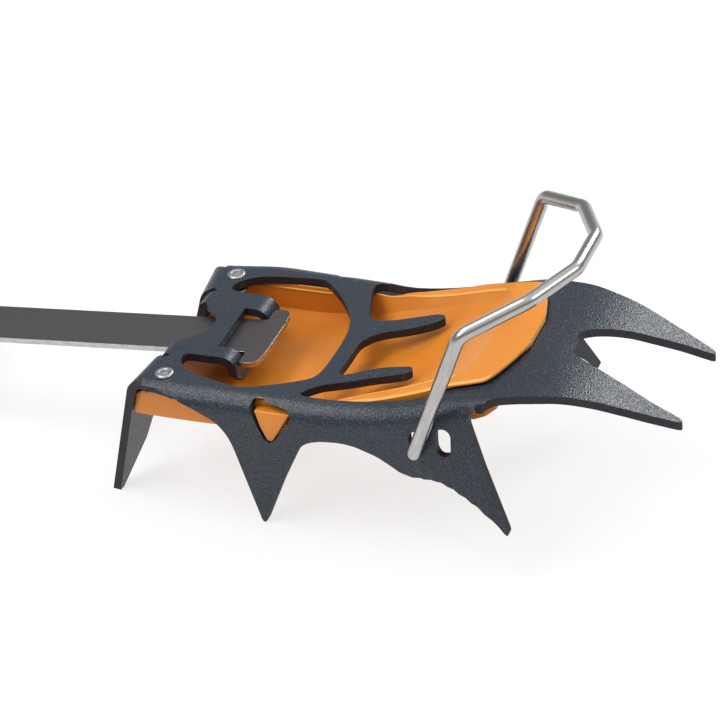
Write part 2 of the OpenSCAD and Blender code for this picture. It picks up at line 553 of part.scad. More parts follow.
// Shell under the heel frame, open in the middle for the bar and its lock
heel_shell_top = heel_top - sheet_t - gap;
heel_shell_hw = heel_hw - sheet_t - gap - 0.4;
heel_shell_d = 7;
module heel_shell() color([0.9, 0.48, 0.12]) translate([0, 0, heel_shell_top]) difference() {
    union() {
        heel_tray();
        both_sides() translate([heel_rivet_x, heel_rivet_y, -heel_shell_d])
            cylinder(h = heel_shell_d + gap, d = 10);
    }
    both_sides() translate([heel_rivet_x, heel_rivet_y, -10]) cylinder(h = 20, d = rivet_d);
}
module heel_tray() difference() {
    intersection() {
        translate([heel_end + 1.5, 0, 0]) rotate([90, 0, 90]) linear_extrude(heel_l - 3) difference() {
            intersection() {
                channel_low(heel_shell_hw, 4, heel_shell_d);
                channel_2d(heel_shell_hw, rail_r - sheet_t + 0.6, 2 * heel_shell_d);
            }
            channel_low(heel_shell_hw - shell_t, 3, heel_shell_d - shell_t);
        }
        translate([heel_end, 0, -20]) linear_extrude(40) {
            translate([6, -heel_hw]) square([heel_l - 12, heel_w]);
            translate([1.5, -heel_hw + 8]) square([heel_l - 3, heel_w - 16]);
        }
    }
    // bay round the bar guide and the lock
    translate([heel_x - 44, -lock_bay / 2, -20]) cube([60, lock_bay, 40]);
    // way out for the bar at the rear
    translate([heel_end - 5, -guide_w / 2 - 2, -bar_t - 2 * gap - 1]) cube([heel_l, guide_w + 4, 10]);
}
module channel_low(w, r, d) {
    translate([-w, -d + r]) square([2 * w, d - r]);
    translate([-w + r, -d]) square([2 * (w - r), d]);
    for (s = [-1, 1]) translate([s * (w - r), -d + r]) circle(r);
}

// Rivets at the rear of the heel, through the posts of the shell
heel_post = heel_top - sheet_t - gap - heel_shell_d;
heel_washer_d = 8;
module heel_rivets() color([0.78, 0.79, 0.8]) both_sides() translate([heel_rivet_x, heel_rivet_y, 0])
    rivet(heel_top, heel_post - 0.8);
module heel_washers() color([0.7, 0.71, 0.72]) both_sides()
    translate([heel_rivet_x, heel_rivet_y, heel_post - 0.8]) washer(heel_washer_d);

// Bracket that carries the bar under the heel, with cheeks for the lock axle
guide_l = 12;
guide_margin = 4.5;
guide_x = heel_x - 1.5 - guide_l;
guide_rivet_x = guide_x + guide_l / 2;
wing_z = heel_top - sheet_t;
floor_z = bar_z - bar_t - gap;
axle_x = guide_x + guide_l - 2.6;
axle_z = floor_z - guide_t - 3.2;
module bar_guide() color([0.3, 0.33, 0.37]) difference() {
    translate([guide_x, 0, 0]) rotate([90, 0, 90]) linear_extrude(guide_l) difference() {
        union() {
            translate([-guide_rivet_y - guide_margin, wing_z - guide_t])
                square([2 * (guide_rivet_y + guide_margin), guide_t]);
            translate([-guide_w / 2 - guide_t, axle_z - 3]) square([guide_w + 2 * guide_t, wing_z - axle_z + 3]);
        }
        translate([-guide_w / 2, floor_z]) square([guide_w, 20]);
        translate([-guide_w / 2, floor_z - guide_t - 20]) square([guide_w, 20]);
    }
    // cheeks only stand round the axle
    translate([guide_x - 1, -20, axle_z - 10]) cube([guide_l - 5, 40, 10 - 3 - axle_z + axle_z + 4.2]);
    both_sides() translate([guide_rivet_x, guide_rivet_y, -40]) cylinder(h = 40, d = rivet_d);
    translate([axle_x, 30, axle_z]) rotate([90, 0, 0]) cylinder(h = 60, d = lock_axle_d);
}
module guide_rivets() color([0.78, 0.79, 0.8]) both_sides() translate([guide_rivet_x, guide_rivet_y, 0])
    rivet(heel_top, wing_z - guide_t);

// Lock lever under the bar, drawn let down so that its pin is just clear of the size holes
hub_r = lock_axle_d / 2 + 1.5;
hub_l = guide_w - 2 * gap;
lock_w = 12;
lock_l = axle_x - lock_x;
lock_t = 1.6;
module lock_lever() color([0.55, 0.56, 0.57]) translate([axle_x, 0, axle_z]) difference() {
    union() {
        translate([0, hub_l / 2, 0]) rotate([90, 0, 0]) cylinder(h = hub_l, r = hub_r);
        translate([-lock_l, -lock_w / 2, -hub_r]) cube([lock_l, lock_w, lock_t]);
        translate([-lock_l, 0, -hub_r]) cylinder(h = lock_t, d = lock_w);
        translate([-lock_l - 15, -lock_w / 2 + 2, -hub_r]) cube([12, lock_w - 4, lock_t]);
        translate([-lock_l - 15, -lock_w / 2, -hub_r - 5]) cube([lock_t, lock_w, 5 + lock_t]);
    }
    translate([0, 30, 0]) rotate([90, 0, 0]) cylinder(h = 60, d = lock_axle_d + 0.1);
    translate([-lock_l, 0, -10]) cylinder(h = 20, d = lock_pin_d - 1);
}
module lock_pin() color([0.7, 0.71, 0.72]) translate([lock_x, 0, 0]) {
    translate([0, 0, axle_z - hub_r + lock_t])
        cylinder(h = floor_z - (axle_z - hub_r + lock_t) - 0.2, d = lock_pin_d);
    translate([0, 0, axle_z - hub_r - 0.6]) cylinder(h = lock_t + 1, d = lock_pin_d - 1);
    translate([0, 0, axle_z - hub_r - 0.6]) cylinder(h = 0.6, d = lock_pin_d + 1);
}
module lock_axle() color([0.7, 0.71, 0.72]) translate([axle_x, guide_w / 2 + guide_t, axle_z]) rotate([90, 0, 0]) {
    cylinder(h = guide_w + 2 * guide_t, d = lock_axle_d);
    translate([0, 0, -0.8]) cylinder(h = 0.8, d = lock_axle_d + 2);
    translate([0, 0, guide_w + 2 * guide_t]) cylinder(h = 0.8, d = lock_axle_d + 2);
}

// Heel wire
hwire_y = heel_hw + heel_wire_d / 2 + 0.6;
bow_x = wire_x - bow_back;
bow_z = wire_z + bow_rise;
bow_path = [[wire_x, heel_hw - sheet_t - 1.2, wire_z], [wire_x, hwire_y, wire_z],
    [wire_x - bow_back * 0.7, hwire_y, wire_z + bow_rise * 0.56], [bow_x, hwire_y - 2.4, bow_z]];
module heel_wire() color([0.75, 0.75, 0.74]) {
    wire(bent(across(bow_path), [3.4, 14, 7, 7, 14, 3.4], 5), heel_wire_d, [-0.6, 0, -0.8]);
    both_sides() rod(wire_x, heel_hw - sheet_t - 1.2 - eps, hwire_y - 3.4, wire_z, heel_wire_d);
    rod(bow_x, -lever_w / 2 - 1, lever_w / 2 + 1, bow_z, heel_wire_d);
}

// Block that turns on the bow and carries the adjusting screw
block_w = lever_w - 2 * lever_t - 2 * gap;
block_r = heel_wire_d / 2 + 1.8;
shelf_z = block_r + screw_travel + 2;
shelf_t = 3;
wheel_h = 6;
screw_l = shelf_z + 2 * shelf_t + wheel_h + 2 * gap + screw_travel + 2;
module wire_block() color([0.42, 0.43, 0.45]) translate([bow_x, 0, bow_z]) difference() {
    union() {
        translate([0, block_w / 2, 0]) rotate([90, 0, 0]) cylinder(h = block_w, r = block_r);
        translate([-block_r, -8, 0]) cube([2 * block_r, 16, block_r + 1]);
    }
    translate([0, 30, 0]) rotate([90, 0, 0]) cylinder(h = 60, d = heel_wire_d + 0.1);
    translate([0, 0, heel_wire_d / 2 + 0.6]) cylinder(h = 10, d = screw_d);
}
module adjust_screw() color([0.7, 0.71, 0.72]) translate([bow_x, 0, bow_z])
    translate([0, 0, heel_wire_d / 2 + 0.6]) cylinder(h = screw_l - heel_wire_d / 2 - 0.6, d = screw_d);
module screw_clip() color([0.5, 0.5, 0.52]) translate([bow_x, 0, bow_z + screw_l - 1.4]) difference() {
    cylinder(h = 1, d = screw_d + 4);
    translate([0, 0, -1]) cylinder(h = 3, d = screw_d);
}
module thumb_wheel() color([0.72, 0.72, 0.7])
    translate([bow_x, 0, bow_z + shelf_z + shelf_t + gap]) difference() {
        cylinder(h = wheel_h, d = wheel_d);
        translate([0, 0, -1]) cylinder(h = wheel_h + 2, d = screw_d + 0.1);
        for (i = [0:17]) rotate(20 * i) translate([wheel_d / 2 + 0.3, 0, -1])
            cylinder(h = wheel_h + 2, r = 0.9, $fn = 16);
    }

// Heel lever: two cheeks, a back, two shelves for the wheel and a claw for the boot
lever_back = 7.6;
lever_front = 9;
lever_low = -9;
module lever_body() color([0.16, 0.17, 0.19]) translate([bow_x, 0, bow_z]) difference() {
    union() {
        both_sides() side_slab([[-lever_back, -3], [-lever_back, lever_l - 8], [-lever_back - 5, lever_l],
            [-lever_back, lever_l + 2], [-lever_back + 6, lever_l - 4], [lever_front - 3, lever_l - 22],
            [lever_front, lever_l * 0.5], [lever_front, -1], [lever_front + 4.6, lever_low + 2.4],
            [lever_front + 4, lever_low], [4.8, lever_low], [0, lever_low + 1]], lever_w / 2 - lever_t, lever_w / 2);
        side_slab([[-lever_back, shelf_z], [-lever_back, lever_l - 8], [-lever_back - 5, lever_l],
            [-lever_back, lever_l + 2], [-lever_back + lever_t, lever_l - 4], [-lever_back + lever_t, shelf_z]],
            -lever_w / 2, lever_w / 2);
        for (z = [shelf_z, shelf_z + shelf_t + wheel_h + 2 * gap])
            translate([-lever_back, -lever_w / 2, z]) cube([lever_back + lever_front - 1, lever_w, shelf_t]);
        side_slab([[lever_front + 4.6, lever_low + 2.4], [lever_front, -1], [lever_front - 2.4, -1],
            [block_r + gap + 0.6, lever_low + 3], [block_r + gap + 0.6, lever_low], [lever_front + 4, lever_low]],
            -lever_w / 2, lever_w / 2);
    }
    // room for the bow to slide in the cheeks
    for (z = [-screw_travel, screw_travel]) translate([0, 30, z]) rotate([90, 0, 0])
        cylinder(h = 60, d = heel_wire_d + 2 * gap);
    translate([-heel_wire_d / 2 - gap, -30, -screw_travel]) cube([heel_wire_d + 2 * gap, 60, 2 * screw_travel]);
    // room for the screw and the wheel
    cylinder(h = screw_l + 12, d = screw_d + 2 * gap);
    translate([-10, -wheel_d / 2 + 1, shelf_z + shelf_t]) cube([10, wheel_d - 2, wheel_h + 2 * gap]);
    // slot for an ankle strap
    translate([-30, -lever_w / 2 + 6, lever_l - 9]) cube([60, lever_w - 12, 4]);
}
pad_end = 11;
module lever_pad() color([0.1, 0.1, 0.11])
    translate([bow_x - lever_back + lever_t, -lever_w / 2 + lever_t + 1, bow_z + screw_l + screw_travel + 1])
        cube([2.4, lever_w - 2 * lever_t - 2, lever_l - pad_end - screw_l - screw_travel]);

front_frame();
front_shell();
front_rivets();
front_washers();
toe_bail();
linking_bar();
heel_frame();
heel_shell();
heel_rivets();
heel_washers();
bar_guide();
guide_rivets();
lock_lever();
lock_pin();
lock_axle();
heel_wire();
wire_block();
lever_body();
lever_pad();
adjust_screw();
thumb_wheel();
screw_clip();
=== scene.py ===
import math

import bmesh
import bpy
from mathutils import Matrix, Vector
from mathutils.bvhtree import BVHTree


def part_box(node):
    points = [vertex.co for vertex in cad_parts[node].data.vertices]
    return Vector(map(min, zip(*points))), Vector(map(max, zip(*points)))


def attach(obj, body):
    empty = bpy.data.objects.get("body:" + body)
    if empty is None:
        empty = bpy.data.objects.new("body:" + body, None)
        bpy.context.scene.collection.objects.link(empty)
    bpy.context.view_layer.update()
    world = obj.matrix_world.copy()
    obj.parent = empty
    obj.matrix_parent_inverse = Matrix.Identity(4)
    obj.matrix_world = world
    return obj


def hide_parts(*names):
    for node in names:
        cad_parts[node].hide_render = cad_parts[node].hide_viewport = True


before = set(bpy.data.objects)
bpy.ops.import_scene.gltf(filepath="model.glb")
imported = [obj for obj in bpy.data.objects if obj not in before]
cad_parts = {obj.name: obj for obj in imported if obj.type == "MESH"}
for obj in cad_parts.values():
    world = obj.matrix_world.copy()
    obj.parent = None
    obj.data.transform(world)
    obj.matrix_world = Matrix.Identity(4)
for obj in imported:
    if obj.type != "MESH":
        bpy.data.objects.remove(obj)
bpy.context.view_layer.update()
mm = 0.001


# Camera at the photograph's angle

cameraSetup = {
    "place": (0.41962, -0.76696, 0.56618),
    "right": (0.927466, 0.359345, -0.10333),
    "up": (-0.123802, 0.555894, 0.821982),
    "back": (0.352816, -0.749568, 0.560061),
    "lens": 149.9,
    "sensor": 36.0,
    "nearest": 0.05,
}


def addObject(name, data):
    added = bpy.data.objects.new(name, data)
    bpy.context.scene.collection.objects.link(added)
    return added


def makeCamera(setup):
    data = bpy.data.cameras.new("camera")
    data.lens = setup["lens"]
    data.sensor_width = setup["sensor"]
    data.clip_start = setup["nearest"]
    camera = addObject("camera", data)
    turn = Matrix((setup["right"], setup["up"], setup["back"])).transposed()
    camera.matrix_world = Matrix.Translation(setup["place"]) @ turn.to_4x4()
    bpy.context.scene.camera = camera


makeCamera(cameraSetup)
print("camera set")


# Nodes that the finishes are built from

def newMaterial(name, colour, rough, metal=0.0):
    material = bpy.data.materials.new(name)
    material.use_nodes = True
    tree = material.node_tree
    shader = tree.nodes["Principled BSDF"]
    shader.inputs["Base Color"].default_value = (*colour, 1)
    shader.inputs["Roughness"].default_value = rough
    shader.inputs["Metallic"].default_value = metal
    return material, tree, shader


def pieceCoordinates(tree, stretch=(1, 1, 1), source="Object"):
    place = tree.nodes.new("ShaderNodeTexCoord")
    mapping = tree.nodes.new("ShaderNodeMapping")
    mapping.inputs["Scale"].default_value = stretch
    tree.links.new(place.outputs[source], mapping.inputs["Vector"])
    return mapping.outputs["Vector"]


def noise(tree, where, scale, detail, rough=0.6):
    texture = tree.nodes.new("ShaderNodeTexNoise")
    texture.inputs["Scale"].default_value = scale
    texture.inputs["Detail"].default_value = detail
    texture.inputs["Roughness"].default_value = rough
    tree.links.new(where, texture.inputs["Vector"])
    return texture.outputs["Fac"]


def ramp(tree, value, stops):
    node = tree.nodes.new("ShaderNodeValToRGB")
    while len(node.color_ramp.elements) < len(stops):
        node.color_ramp.elements.new(0.5)
    for element, (place, colour) in zip(node.color_ramp.elements, stops):
        element.position = place
        element.color = (*colour, 1)
    tree.links.new(value, node.inputs["Fac"])
    return node.outputs["Color"]


def fade(tree, value, first, second, span=(0.3, 0.7)):
    return ramp(tree, value, [(span[0], first), (span[1], second)])


def grey(value):
    return (value, value, value)


def mix(tree, amount, first, second, blend="MIX"):
    node = tree.nodes.new("ShaderNodeMix")
    node.data_type = "RGBA"
    node.blend_type = blend
    for socket, value in ((node.inputs[0], amount), (node.inputs[6], first), (node.inputs[7], second)):
        if isinstance(value, float):
            socket.default_value = value
        elif isinstance(value, tuple):
            socket.default_value = (*value, 1)
        else:
            tree.links.new(value, socket)
    return node.outputs[2]


def bump(tree, shader, height, strength, depth):
    node = tree.nodes.new("ShaderNodeBump")
    node.inputs["Strength"].default_value = strength
    node.inputs["Distance"].default_value = depth
    tree.links.new(height, node.inputs["Height"])
    tree.links.new(node.outputs["Normal"], shader.inputs["Normal"])


# Finishes

coatLook = {
    "dark": (0.007, 0.0122, 0.021), "light": (0.025, 0.035, 0.049), "grain": 1750, "grainSpan": (0.36, 0.66),
    "speck": (0.1, 0.115, 0.14), "speckGrain": 2275, "speckSpan": (0.58, 0.82), "speckShare": 0.6,
    "cloud": 60, "cloudSpan": (0.35, 0.7), "cloudShade": 0.6, "cloudShare": 0.25,
    "rough": 0.42, "smooth": 0.26, "bump": 1.0, "depth": 0.00017, "specular": 0.42,
}
shellLook = {"name": "orange_plastic", "colour": (0.65, 0.225, 0.022), "deep": (0.59, 0.178, 0.011)}
# a lighter orange for the bevel, the bead and the wall's rim, a painted highlight
shellHighlightLook = {"name": "orange_painted_highlight", "colour": (0.84, 0.4, 0.085), "deep": (0.76, 0.32, 0.05)}
mouldedSkin = {
    "cloud": 28, "cloudSpan": (0.3, 0.6), "fine": 1300, "smooth": 0.3, "rough": 0.42,
    "bump": 0.12, "depth": 0.00008, "glow": 0.12, "glowReach": (0.004, 0.0014, 0.0004),
}

# one grain runs through each of these, and its span says where the fade from dark to light begins and ends
# the cut edges are the same coat, painted darker and rougher as shade
cutShadeLook = {
    "name": "cut_edge_painted_shade", "dark": (0.009, 0.0075, 0.011), "light": (0.032, 0.028, 0.038), "span": (0.3, 0.75),
    "grain": 1200, "detail": 3.0, "rough": 0.55, "bump": 0.4, "depth": 0.00015, "specular": 0.3,
}
# the rounded rims of the coated sheet are painted lighter and part metal, a painted highlight on the edges
rimHighlightLook = {
    "name": "rim_painted_highlight", "dark": (0.05, 0.056, 0.066), "light": (0.3, 0.31, 0.325), "span": (0.4, 0.68),
    "grain": 420, "detail": 4.0, "rough": 0.34, "metal": 0.25,
}
blackLook = {
    "name": "black_plastic", "dark": (0.014, 0.015, 0.017), "light": (0.034, 0.036, 0.04),
    "grain": 1800, "detail": 2.0, "rough": 0.52, "smooth": 0.38, "bump": 0.35, "depth": 0.0001,
}
padLook = {
    "name": "soft_pad", "dark": (0.018, 0.018, 0.019), "light": (0.05, 0.05, 0.052),
    "grain": 700, "detail": 4.0, "rough": 0.75, "bump": 0.5, "depth": 0.0002,
}


def powderCoat(look):
    material, tree, shader = newMaterial("powder_coat", look["dark"], look["rough"])
    where = pieceCoordinates(tree)
    grain = noise(tree, where, look["grain"], 0.8, 0.5)
    base = fade(tree, grain, look["dark"], look["light"], look["grainSpan"])
    clouds = noise(tree, where, look["cloud"], 3.0)
    shade = fade(tree, clouds, grey(look["cloudShade"]), grey(1.0), look["cloudSpan"])
    base = mix(tree, look["cloudShare"], base, shade, "MULTIPLY")
    dots = noise(tree, where, look["speckGrain"], 0.0)
    specks = fade(tree, dots, grey(0), grey(look["speckShare"]), look["speckSpan"])
    tree.links.new(mix(tree, specks, base, look["speck"]), shader.inputs["Base Color"])
    gloss = fade(tree, grain, grey(look["rough"]), grey(look["smooth"]))
    tree.links.new(gloss, shader.inputs["Roughness"])
    bump(tree, shader, grain, look["bump"], look["depth"])
    shader.inputs["Specular IOR Level"].default_value = look["specular"]
    return material


def orangePlastic(look, skin):
    material, tree, shader = newMaterial(look["name"], look["colour"], skin["smooth"])
    where = pieceCoordinates(tree)
    cloud = noise(tree, where, skin["cloud"], 2.0)
    colour = fade(tree, cloud, look["deep"], look["colour"], skin["cloudSpan"])
    tree.links.new(colour, shader.inputs["Base Color"])
    fine = noise(tree, where, skin["fine"], 2.0)
    tree.links.new(fade(tree, fine, grey(skin["smooth"]), grey(skin["rough"])), shader.inputs["Roughness"])
    bump(tree, shader, fine, skin["bump"], skin["depth"])
    shader.inputs["Subsurface Weight"].default_value = skin["glow"]
    shader.inputs["Subsurface Radius"].default_value = skin["glowReach"]
    shader.inputs["Subsurface Scale"].default_value = 1.0
    return material


def grained(look):
    material, tree, shader = newMaterial(look["name"], look["light"], look["rough"], look.get("metal", 0.0))
    where = pieceCoordinates(tree, look.get("stretch", (1, 1, 1)), look.get("map", "Object"))
    grain = noise(tree, where, look["grain"], look["detail"], look.get("harshness", 0.6))
    colour = fade(tree, grain, look["dark"], look["light"], look.get("span", (0.3, 0.7)))
    tree.links.new(colour, shader.inputs["Base Color"])
    if "smooth" in look:
        gloss = fade(tree, grain, grey(look["rough"]), grey(look["smooth"]))
        tree.links.new(gloss, shader.inputs["Roughness"])
    if "bump" in look:
        bump(tree, shader, grain, look["bump"], look["depth"])
    if "specular" in look:
        shader.inputs["Specular IOR Level"].default_value = look["specular"]
    return material


def brushedSteel(name, dark, light, rough, stretch, depth=0.00003, source="Object"):
    return grained({
        "name": name, "dark": dark, "light": light, "stretch": stretch, "map": source,
        "grain": 1.0, "detail": 4.0, "harshness": 0.7, "metal": 1.0,
        "rough": rough * 1.25, "smooth": rough * 0.8, "bump": 0.2, "depth": depth})


finishes = {
    "coat": powderCoat(coatLook),
    "cut": grained(cutShadeLook),
    "rim": grained(rimHighlightLook),
    "shell": orangePlastic(shellLook, mouldedSkin),
    "shellHighlight": orangePlastic(shellHighlightLook, mouldedSkin),
    "bar": brushedSteel("satin_bar", (0.13, 0.122, 0.124), (0.2, 0.188, 0.19), 0.36, (60, 2200, 2200)),
    # the cut edges and rims of the bar and lock plate are painted a lighter steel, a painted highlight
    "barEdgeHighlight": brushedSteel("bar_edge_painted_highlight", (0.4, 0.39, 0.385), (0.62, 0.61, 0.6), 0.28, (200, 900, 900)),
    # the wire's own map runs round it and along it, so the drawing marks follow its bends
    "wire": brushedSteel("polished_wire", (0.38, 0.368, 0.356), (0.56, 0.55, 0.535), 0.25, (26, 90, 1),
                         0.00001, "UV"),
    "zinc": brushedSteel("zinc_plate", (0.45, 0.46, 0.47), (0.66, 0.67, 0.68), 0.3, (600, 600, 600)),
    "rivet": brushedSteel("rivet_steel", (0.17, 0.175, 0.18), (0.5, 0.51, 0.52), 0.42, (1500, 1500, 900),
                          0.00012),
    "lock": brushedSteel("lock_steel", (0.25, 0.25, 0.26), (0.4, 0.4, 0.41), 0.35, (300, 1500, 1500)),
    "black": grained(blackLook),
    "pad": grained(padLook),
}
print("finishes made", len(finishes))


# Making a piece from a bmesh

def faceGroups(bm, joins):
    # groups of neighbouring faces in which each step from face to face passes the test
    bm.faces.index_update()
    seen = set()
    for start in bm.faces:
        if start.index in seen:
            continue
        group, queue = [], [start]
        seen.add(start.index)
        while queue:
            face = queue.pop()
            group.append(face)
            for edge in face.edges:
                for other in edge.link_faces:
                    if other.index not in seen and joins(face, other):
                        seen.add(other.index)
                        queue.append(other)
        yield group


def turnOutward(bm):
    # a closed body whose signed volume is negative is inside out
    bmesh.ops.recalc_face_normals(bm, faces=bm.faces)
    for group in list(faceGroups(bm, lambda face, other: True)):
        if sum(face.calc_center_median().dot(face.normal) * face.calc_area() for face in group) < 0:
            bmesh.ops.reverse_faces(bm, faces=group)


def placePiece(name, bm, looks, body, node, slot):
    for face in bm.faces:
        face.smooth = True
    mesh = bpy.data.meshes.new(name)
    bm.to_mesh(mesh)
    bm.free()
    for look in looks:
        mesh.materials.append(finishes[look])
    piece = addObject(name, mesh)
    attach(piece, body)
    if node:
        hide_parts(node)
    return piece


def closedPiece(name, bm, looks, body, node, slot):
    turnOutward(bm)
    return placePiece(name, bm, looks, body, node, slot)


def roundEdges(piece, width, segments=2, material=-1, angle=32):
    bevel = piece.modifiers.new("round_edges", "BEVEL")
    bevel.width = width * mm
    bevel.segments = segments
    bevel.limit_method = "ANGLE"
    bevel.angle_limit = math.radians(angle)
    bevel.material = material
    bevel.use_clamp_overlap = True
    normals = piece.modifiers.new("flat_faces", "WEIGHTED_NORMAL")
    normals.keep_sharp = True
    normals.weight = 60


def softened(bm, edges, width, segments=3):
    bmesh.ops.bevel(bm, geom=edges, offset=width, segments=segments, profile=0.5, affect="EDGES", material=-1)


def copyOfNode(nodeName):
    bm = bmesh.new()
    bm.from_mesh(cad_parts[nodeName].data)
    bmesh.ops.remove_doubles(bm, verts=bm.verts, dist=0.01 * mm)
    bmesh.ops.recalc_face_normals(bm, faces=bm.faces)
    return bm


def joinFlatFaces(bm):
    flat = math.radians(0.6)
    bmesh.ops.dissolve_limit(bm, angle_limit=flat, verts=bm.verts, edges=bm.edges, delimit={"MATERIAL"})


def roundedCopy(name, nodeName, body, look, slot, width, segments):
    bm = copyOfNode(nodeName)
    joinFlatFaces(bm)
    piece = closedPiece(name, bm, [look], body, nodeName, slot)
    roundEdges(piece, width, segments)


# Formed steel sheet: coat on the faces, a darker copy of the coat on the cut edges as painted shade, and rims
# between them painted lighter as highlight

coated = ("coat", "cut", "rim")
# sizes in millimetres; the front points lie in front of prongs
sheetPieces = [
    {"name": "frontPlate", "node": "front_frame", "body": "front_section", "looks": coated,
     "slot": "frame_steel", "thickness": 3.0, "rim": 0.38, "prongs": 140},
    {"name": "heelPlate", "node": "heel_frame", "body": "heel_section", "looks": coated,
     "slot": "frame_steel", "thickness": 3.0, "rim": 0.35},
    {"name": "barBracket", "node": "bar_guide", "body": "heel_section", "looks": coated,
     "slot": "frame_steel", "thickness": 2.0, "rim": 0.25},
    # the bar and lock plate take the painted highlight on their cut edges and rims
    {"name": "linkBar", "node": "linking_bar", "body": "link", "looks": ("bar", "barEdgeHighlight", "barEdgeHighlight"),
     "slot": "bar_steel", "thickness": 2.0, "rim": 0.3},
    {"name": "lockPlate", "node": "lock_lever", "body": "size_lock", "looks": ("lock", "barEdgeHighlight", "barEdgeHighlight"),
     "slot": "bar_steel", "thickness": 1.6, "rim": 0.2},
]
# a flat patch bends less than flat degrees; a ray starts inside the face by so many millimetres;
# thin and thick are shares of the sheet's thickness, opposed and steep are cosines
edgeTest = {
    "flat": 0.8, "inside": 0.01, "thin": 0.55, "thick": 1.55, "opposed": -0.7, "steep": 0.6,
    "smallestArea": 1e-12,
}


def isSheet(face, tree, thickness, test):
    start = face.calc_center_median() - face.normal * test["inside"] * mm
    place, normal, index, depth = tree.ray_cast(start, -face.normal)
    if depth is None or not test["thin"] * thickness < depth < test["thick"] * thickness:
        return False
    return normal.dot(face.normal) < test["opposed"]


def markCutEdges(bm, thickness, prongs, test):
    # a flat patch is sheet if most of it has a face turned the other way one thickness behind it,
    # and cut edge if not; each steep face of the front points is cut edge too
    tree = BVHTree.FromBMesh(bm)
    flat = math.radians(test["flat"])
    for patch in faceGroups(bm, lambda face, other: other.normal.angle(face.normal, math.pi) < flat):
        whole = [face for face in patch if face.calc_area() > test["smallestArea"]]
        sheet = sum(face.calc_area() for face in whole if isSheet(face, tree, thickness, test))
        cut = sum(face.calc_area() for face in whole) - sheet
        for face in patch:
            onPoint = face.calc_center_median().x > prongs and abs(face.normal.z) < test["steep"]
            face.material_index = 1 if cut > sheet or onPoint else 0


def sheetPiece(setup):
    bm = copyOfNode(setup["node"])
    markCutEdges(bm, setup["thickness"] * mm, setup.get("prongs", 1000) * mm, edgeTest)
    joinFlatFaces(bm)
    piece = closedPiece(setup["name"], bm, setup["looks"], setup["body"], setup["node"], setup["slot"])
    # the third look is the rim's painted highlight
    roundEdges(piece, setup["rim"], 2, 2)


for setup in sheetPieces:
    sheetPiece(setup)
print("sheet pieces made")


# Round wires with bent corners

toeBail = {
    "name": "toeBail", "node": "toe_bail", "body": "toe_binding", "wire": 4.8,
    "corners": [(94.3, 34, -9.5), (94.3, 45.4, -9.5), (114, 43, 39.5), (133, 29, 46.3), (143.3, 10, 48.3)],
    "bends": [3.4, 6, 9, 7, 7, 9, 6, 3.4],
}
heelBow = {
    "name": "heelBow", "node": "heel_wire", "body": "heel_binding", "wire": 4.4,
    "corners": [(-139, 29.8, -22.236), (-139, 36.8, -22.236), (-171.2, 36.8, 2.404), (-185, 34.4, 21.764)],
    "bends": [3.4, 14, 7, 7, 14, 3.4],
}


def cornerArc(before, corner, after, radius, steps):
    arriving, leaving = (corner - before).normalized(), (after - corner).normalized()
    turn = math.acos(max(-1, min(1, arriving.dot(leaving))))
    start = corner - arriving * radius * math.tan(turn / 2)
    side = (leaving - arriving * arriving.dot(leaving)).normalized()
    angles = [turn * i / steps for i in range(steps + 1)]
    return [start + side * radius * (1 - math.cos(a)) + arriving * radius * math.sin(a) for a in angles]


def bentPath(corners, radii, steps=12):
    points = [corners[0]]
    for before, corner, after, radius in zip(corners, corners[1:], corners[2:], radii):
        points += cornerArc(before, corner, after, radius, steps)
    return points + [corners[-1]]


def mirroredPath(half):
    points = [Vector(p) * mm for p in half]
    return points + [Vector((p.x, -p.y, p.z)) for p in reversed(points)]


def mapWire(bm, around, along):
    layer = bm.loops.layers.uv.new("wire")
    for face in bm.faces:
        turns = [loop.vert[around] for loop in face.loops]
        wraps = max(turns) - min(turns) > 0.5
        for loop, turn in zip(face.loops, turns):
            loop[layer].uv = (turn + 1 if wraps and turn < 0.5 else turn, loop.vert[along])


def wireMesh(points, radius, sides=28):
    bm = bmesh.new()
    around = bm.verts.layers.float.new("around")
    along = bm.verts.layers.float.new("along")
    rings = []
    side = Vector((1, 0, 0))
    travelled = 0.0
    for i, point in enumerate(points):
        before, after = points[max(i - 1, 0)], points[min(i + 1, len(points) - 1)]
        onward = (after - before).normalized()
        # the side is carried along without twist
        side = (side - onward * side.dot(onward)).normalized()
        turn = Matrix((side, onward.cross(side), onward)).transposed().to_4x4()
        place = Matrix.Translation(point) @ turn
        ring = bmesh.ops.create_circle(bm, segments=sides, radius=radius, matrix=place)["verts"]
        travelled += (point - before).length
        for k, vert in enumerate(ring):
            vert[around] = k / sides
            vert[along] = travelled
        rings.append({edge for vert in ring for edge in vert.link_edges})
    for first, second in zip(rings, rings[1:]):
        bmesh.ops.bridge_loops(bm, edges=list(first | second))
    mapWire(bm, around, along)
    ends = [edge for edge in bm.edges if edge.is_boundary]
    caps = bmesh.ops.holes_fill(bm, edges=ends, sides=0)["faces"]
    rims = [edge for face in caps for edge in face.edges]
    softened(bm, rims, radius / 4, 2)
    return bm


def makeWire(setup):
    points = bentPath(mirroredPath(setup["corners"]), [bend * mm for bend in setup["bends"]])
    bm = wireMesh(points, setup["wire"] / 2 * mm)
    closedPiece(setup["name"], bm, ["wire"], setup["body"], setup["node"], "wire_steel")


makeWire(toeBail)
makeWire(heelBow)
print("wires made")


# Rivets, in pairs left and right

rivetShape = {"head": 6.7, "height": 0.8, "shank": 4.0, "foot": 0.8, "footHeight": 1.2, "footBevel": 0.3}
heelTop = -8.736
# place of each pair, the sheet faces that its heads and feet lie on, and the body that it rides
rivetPairs = [
    {"name": "frontRivets", "node": "front_rivets", "body": "front_section",
     "x": 0, "y": 31.4, "top": 0, "bottom": -5.9},
    {"name": "heelRivets", "node": "heel_rivets", "body": "heel_section",
     "x": -169, "y": 20, "top": heelTop, "bottom": heelTop - 11.1},
    {"name": "bracketRivets", "node": "guide_rivets", "body": "heel_section",
     "x": -116.5, "y": 17, "top": heelTop, "bottom": heelTop - 5},
]


